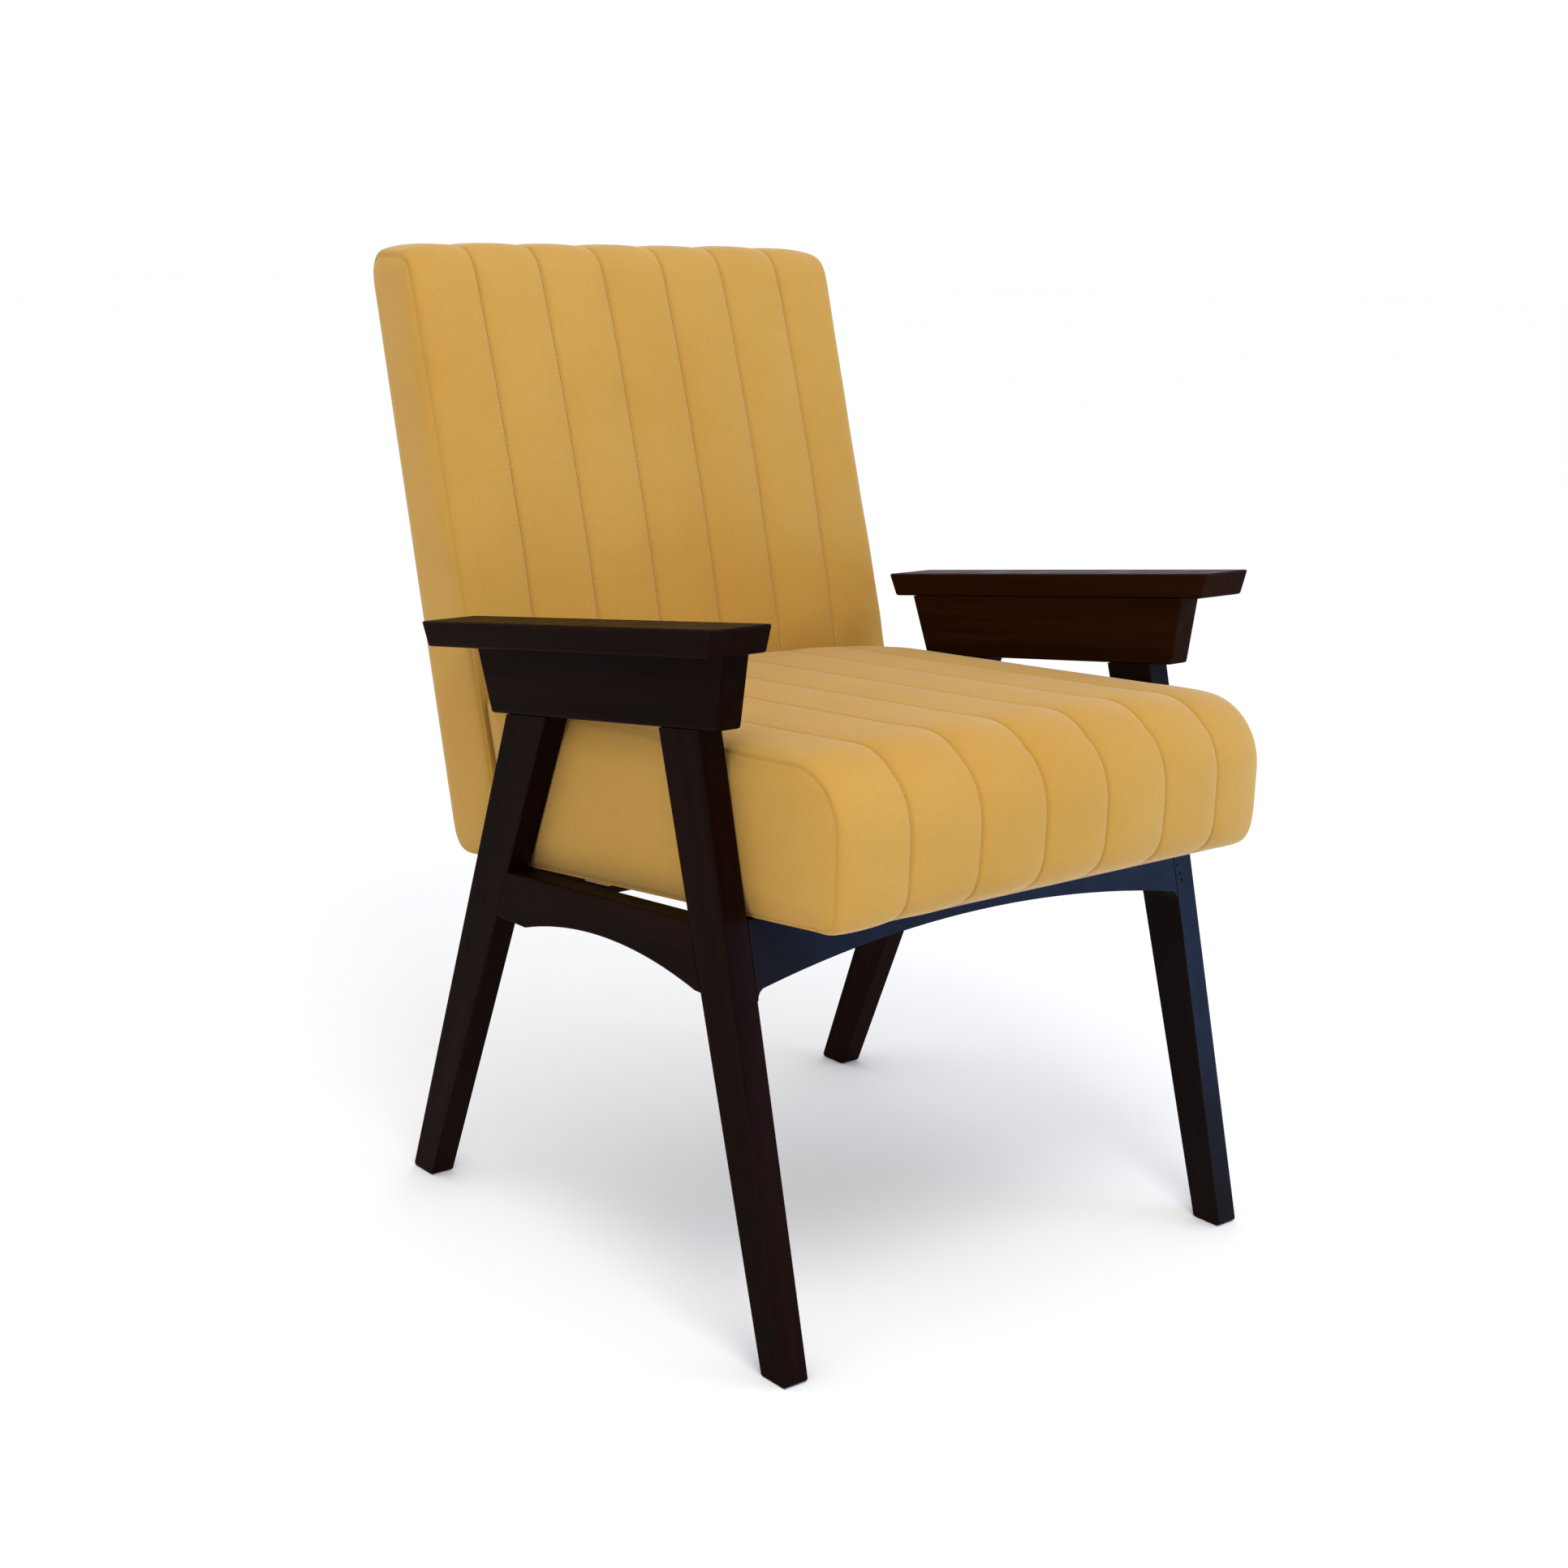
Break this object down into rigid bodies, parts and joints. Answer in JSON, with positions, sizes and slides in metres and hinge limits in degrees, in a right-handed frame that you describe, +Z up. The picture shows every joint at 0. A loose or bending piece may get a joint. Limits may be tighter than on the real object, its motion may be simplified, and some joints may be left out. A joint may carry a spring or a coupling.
{
  "type": "wooden armchair",
  "caption": "Low-backed lounge armchair with a sloping dark lacquered wooden frame, raked tapered legs and a channelled velvet seat and reclined back.",
  "frame": {"origin": "on the floor, under the middle of the chair's overall box", "axes": "+Z up, the sitter faces -Y, +X is the sitter's left"},
  "size_m": [0.647, 0.7287, 0.922],
  "materials": {
    "lacquered_wood": "satin",
    "velvet": "matte",
    "plywood": "matte",
    "beech": "matte",
    "steel": "satin",
    "dust_cloth": "matte"
  },
  "bodies": {
    "root": {"arm_apron_left": "lacquered_wood", "arm_apron_right": "lacquered_wood", "armrest_left": "lacquered_wood", "armrest_right": "lacquered_wood", "back_cover": "velvet", "back_cushion": "velvet", "back_panel": "plywood", "back_strap_left": "steel", "back_strap_right": "steel", "dowel_arm_left_1": "beech", "dowel_arm_left_2": "beech", "dowel_arm_right_1": "beech", "dowel_arm_right_2": "beech", "dowel_front_leg_left_1": "beech", "dowel_front_leg_left_2": "beech", "dowel_front_leg_right_1": "beech", "dowel_front_leg_right_2": "beech", "dowel_front_rail_left_1": "beech", "dowel_front_rail_left_2": "beech", "dowel_front_rail_right_1": "beech", "dowel_front_rail_right_2": "beech", "dowel_rear_leg_left_1": "beech", "dowel_rear_leg_left_2": "beech", "dowel_rear_leg_right_1": "beech", "dowel_rear_leg_right_2": "beech", "dowel_rear_rail_left_1": "beech", "dowel_rear_rail_left_2": "beech", "dowel_rear_rail_right_1": "beech", "dowel_rear_rail_right_2": "beech", "dowel_side_rail_front_left": "beech", "dowel_side_rail_front_right": "beech", "dowel_side_rail_rear_left": "beech", "dowel_side_rail_rear_right": "beech", "dust_cover": "dust_cloth", "front_leg_left": "lacquered_wood", "front_leg_right": "lacquered_wood", "front_rail": "lacquered_wood", "rail_block_front_left": "beech", "rail_block_front_right": "beech", "rail_block_rear_left": "beech", "rail_block_rear_right": "beech", "rear_leg_left": "lacquered_wood", "rear_leg_right": "lacquered_wood", "rear_rail": "lacquered_wood", "seat_cushion": "velvet", "seat_panel": "plywood", "seat_screw_front_left": "steel", "seat_screw_front_right": "steel", "seat_screw_rear_left": "steel", "seat_screw_rear_right": "steel", "side_rail_left": "lacquered_wood", "side_rail_right": "lacquered_wood", "strap_screw_back_left_1": "steel", "strap_screw_back_left_2": "steel", "strap_screw_back_right_1": "steel", "strap_screw_back_right_2": "steel", "strap_screw_seat_left": "steel", "strap_screw_seat_right": "steel"}
  },
  "joints": []
}
